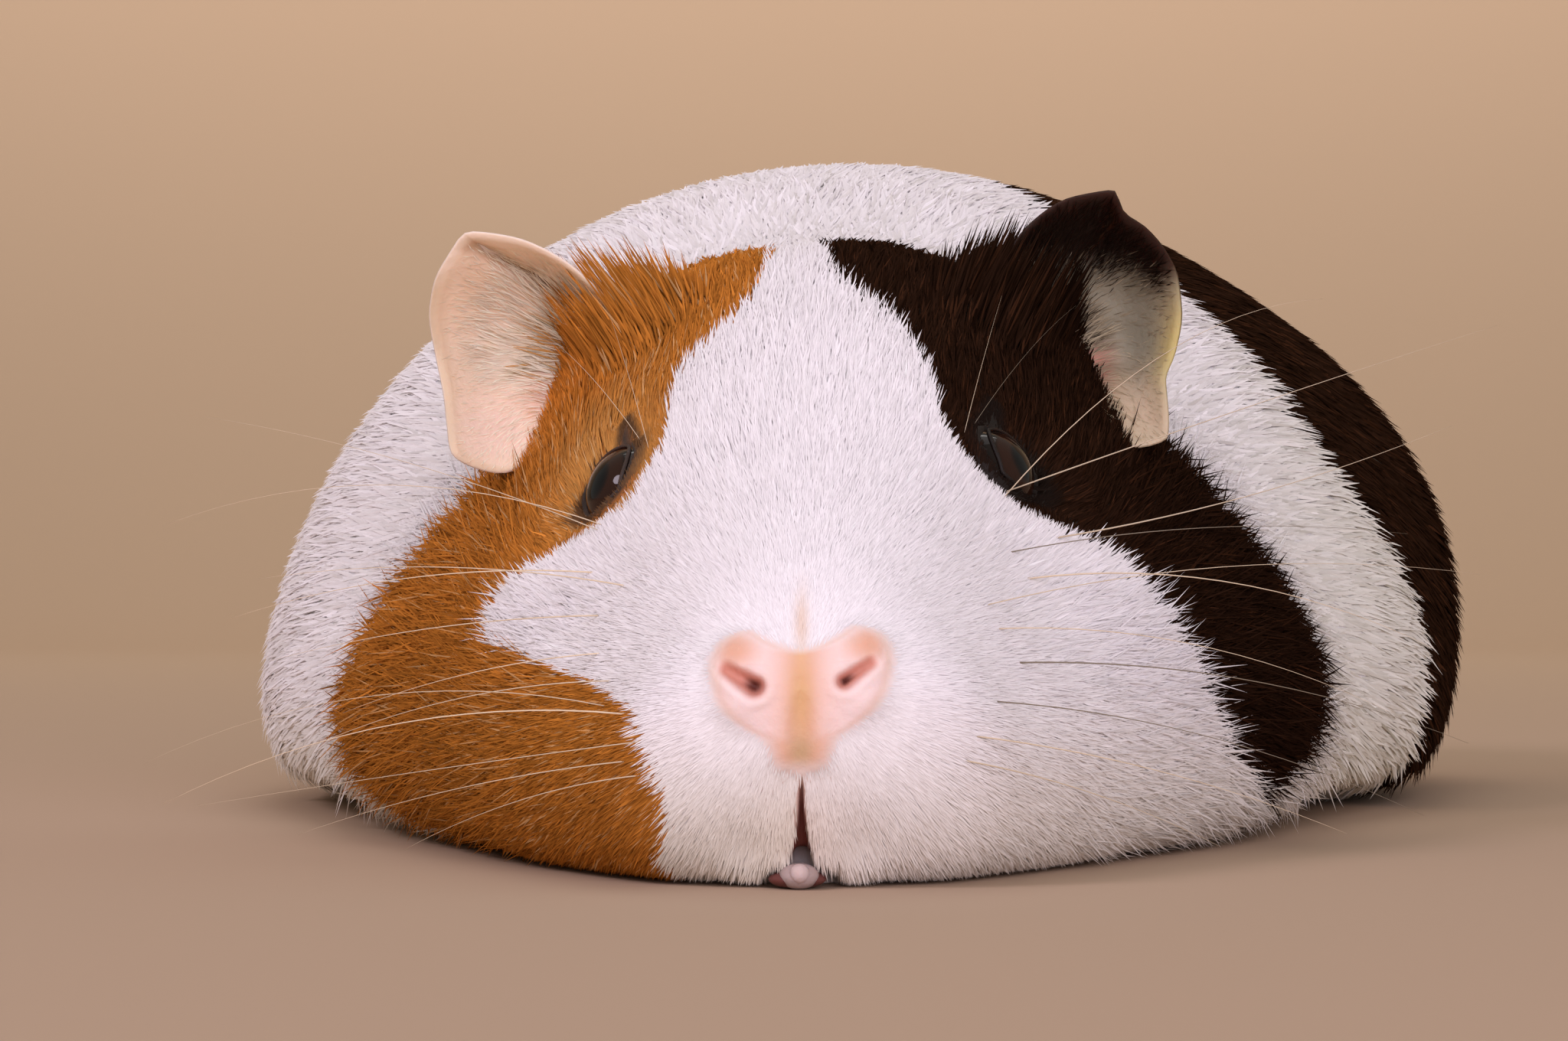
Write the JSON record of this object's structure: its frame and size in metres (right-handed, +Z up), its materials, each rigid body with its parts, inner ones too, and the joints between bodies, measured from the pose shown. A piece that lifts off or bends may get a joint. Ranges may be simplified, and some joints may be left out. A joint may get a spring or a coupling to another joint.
{
  "type": "guinea pig model",
  "caption": "Life-size still model of a short-haired guinea pig lying flat with its chin on the floor, feet tucked under.",
  "frame": {"origin": "middle of the bounding box, on the floor that the chin, belly and feet rest on", "axes": "+Z up; the nose points to -Y and the rump to +Y, swinging a little to +X, the animal's left side"},
  "size_m": [0.1346, 0.2524, 0.0712],
  "materials": {
    "coat": "short smooth fur, white with an orange patch over the right side of the face and black-brown over the left side and the left flank",
    "bare_skin": "bare pink skin with fine short hairs",
    "eye": "wet, near black",
    "claw": "pale horn"
  },
  "bodies": {
    "root": {"head": "coat", "muzzle": "coat", "nose": "bare_skin", "lower_jaw": "bare_skin", "neck": "coat", "trunk": "coat", "ear_left": "bare_skin", "ear_right": "bare_skin", "eye_left": "eye", "eye_right": "eye", "fore_leg_left": "coat", "fore_leg_right": "coat", "hind_leg_left": "coat", "hind_leg_right": "coat", "fore_foot_left": "bare_skin", "fore_foot_right": "bare_skin", "hind_foot_left": "bare_skin", "hind_foot_right": "bare_skin", "fore_claw_left_1": "claw", "fore_claw_left_2": "claw", "fore_claw_left_3": "claw", "fore_claw_left_4": "claw", "fore_claw_right_1": "claw", "fore_claw_right_2": "claw", "fore_claw_right_3": "claw", "fore_claw_right_4": "claw", "hind_claw_left_1": "claw", "hind_claw_left_2": "claw", "hind_claw_left_3": "claw", "hind_claw_right_1": "claw", "hind_claw_right_2": "claw", "hind_claw_right_3": "claw"}
  },
  "joints": []
}
